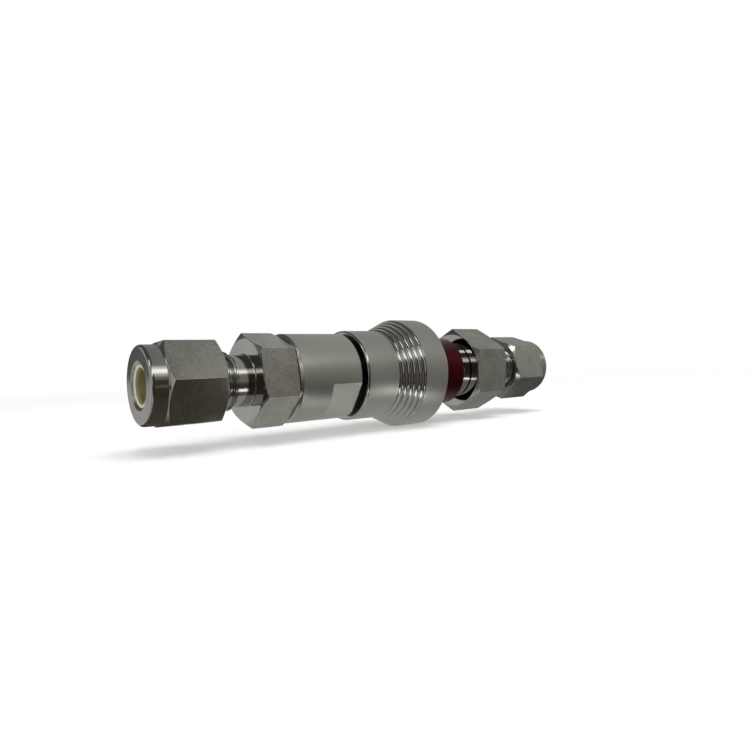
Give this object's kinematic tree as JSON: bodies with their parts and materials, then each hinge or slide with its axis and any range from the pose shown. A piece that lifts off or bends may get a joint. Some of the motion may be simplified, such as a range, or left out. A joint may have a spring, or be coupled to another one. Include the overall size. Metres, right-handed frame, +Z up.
{
  "type": "quick connect fitting",
  "caption": "Steel quick connect coupling: ball-locked body and stem under a spring sleeve, with shut-off valves and a compression tube end on each half.",
  "frame": {"origin": "on the axis, midway between the outer faces of the two nuts", "axes": "+X along the axis from the body's tube end to the stem's, +Z up as the fitting lies on a table"},
  "size_m": [0.1036, 0.0237, 0.0236],
  "materials": {
    "satin_steel": "satin drawn bar",
    "turned_steel": "fine turned",
    "spring_steel": "bright wire",
    "ball_steel": "polished",
    "red_ring": "red anodised satin",
    "plug_plastic": "matte",
    "seal_rubber": "matte"
  },
  "bodies": {
    "body": {"housing": "turned_steel", "body_end": "satin_steel", "body_joint_seal": "seal_rubber", "stem_seal": "seal_rubber", "body_valve_guide": "turned_steel", "body_valve_spring": "spring_steel", "sleeve_spring": "spring_steel", "snap_ring": "spring_steel"},
    "sleeve": {"sleeve": "turned_steel"},
    "stem": {"stem_body": "turned_steel", "coding_ring": "red_ring", "stem_end": "satin_steel", "stem_joint_seal": "seal_rubber", "stem_valve_guide": "turned_steel", "stem_valve_spring": "spring_steel"},
    "body_valve": {"body_valve": "turned_steel", "body_valve_seal": "seal_rubber"},
    "stem_valve": {"stem_valve": "turned_steel", "stem_valve_seal": "seal_rubber"},
    "body_ferrules": {"body_back_ferrule": "turned_steel", "body_front_ferrule": "turned_steel"},
    "body_nut": {"body_nut": "satin_steel"},
    "plug": {"port_plug": "plug_plastic"},
    "stem_ferrules": {"stem_back_ferrule": "turned_steel", "stem_front_ferrule": "turned_steel"},
    "stem_nut": {"stem_nut": "satin_steel"},
    "ball_1": {"locking_ball_1": "ball_steel"},
    "ball_2": {"locking_ball_2": "ball_steel"},
    "ball_3": {"locking_ball_3": "ball_steel"},
    "ball_4": {"locking_ball_4": "ball_steel"},
    "ball_5": {"locking_ball_5": "ball_steel"},
    "ball_6": {"locking_ball_6": "ball_steel"}
  },
  "joints": [
    {"name": "sleeve_slide", "type": "slide", "parent": "body", "child": "sleeve", "axis": [-1, 0, 0], "range_m": [0, 0.0011], "stiffness_N_per_m": 2000, "springref_m": -0.006, "deforming": ["sleeve_spring"]},
    {"name": "stem_swivel", "type": "hinge", "parent": "body", "child": "stem", "pos_m": [0, 0, 0], "axis": [1, 0, 0], "continuous": true},
    {"name": "body_valve_float", "type": "slide", "parent": "body", "child": "body_valve", "axis": [1, 0, 0], "range_m": [-0.0013, 0.0013], "stiffness_N_per_m": 400, "deforming": ["body_valve_spring"]},
    {"name": "stem_valve_float", "type": "slide", "parent": "stem", "child": "stem_valve", "axis": [1, 0, 0], "range_m": [-0.0013, 0.0013], "stiffness_N_per_m": 300, "deforming": ["stem_valve_spring"]},
    {"name": "ball_1_lift", "type": "slide", "parent": "body", "child": "ball_1", "axis": [0, 0, 1], "range_m": [0, 0.00043]},
    {"name": "ball_2_lift", "type": "slide", "parent": "body", "child": "ball_2", "axis": [0, 0.866, 0.5], "range_m": [0, 0.00043]},
    {"name": "ball_3_lift", "type": "slide", "parent": "body", "child": "ball_3", "axis": [0, 0.866, -0.5], "range_m": [0, 0.00043]},
    {"name": "ball_4_lift", "type": "slide", "parent": "body", "child": "ball_4", "axis": [0, 0, -1], "range_m": [0, 0.00043]},
    {"name": "ball_5_lift", "type": "slide", "parent": "body", "child": "ball_5", "axis": [0, -0.866, -0.5], "range_m": [0, 0.00043]},
    {"name": "ball_6_lift", "type": "slide", "parent": "body", "child": "ball_6", "axis": [0, -0.866, 0.5], "range_m": [0, 0.00043]},
    {"name": "body_ferrule_slide", "type": "slide", "parent": "body", "child": "body_ferrules", "axis": [-1, 0, 0], "range_m": [0, 0.0057]},
    {"name": "body_nut_turn", "type": "hinge", "parent": "body_ferrules", "child": "body_nut", "pos_m": [-0.045, 0, 0], "axis": [-1, 0, 0], "range_deg": [0, 1620]},
    {"name": "stem_ferrule_slide", "type": "slide", "parent": "stem", "child": "stem_ferrules", "axis": [1, 0, 0], "range_m": [0, 0.0057]},
    {"name": "stem_nut_turn", "type": "hinge", "parent": "stem_ferrules", "child": "stem_nut", "pos_m": [0.045, 0, 0], "axis": [1, 0, 0], "range_deg": [0, 1620]},
    {"name": "plug_pull", "type": "slide", "parent": "body_nut", "child": "plug", "axis": [-1, 0, 0], "range_m": [0, 0.03]}
  ],
  "couplings": [
    {"joint": "stem_valve_float", "follows": "body_valve_float", "ratio": 1},
    {"joint": "ball_1_lift", "follows": "sleeve_slide", "ratio": 0.38182},
    {"joint": "ball_2_lift", "follows": "sleeve_slide", "ratio": 0.38182},
    {"joint": "ball_3_lift", "follows": "sleeve_slide", "ratio": 0.38182},
    {"joint": "ball_4_lift", "follows": "sleeve_slide", "ratio": 0.38182},
    {"joint": "ball_5_lift", "follows": "sleeve_slide", "ratio": 0.38182},
    {"joint": "ball_6_lift", "follows": "sleeve_slide", "ratio": 0.38182},
    {"joint": "body_nut_turn", "follows": "body_ferrule_slide", "rad_per_m": 4947.4},
    {"joint": "stem_nut_turn", "follows": "stem_ferrule_slide", "rad_per_m": 4947.4}
  ]
}
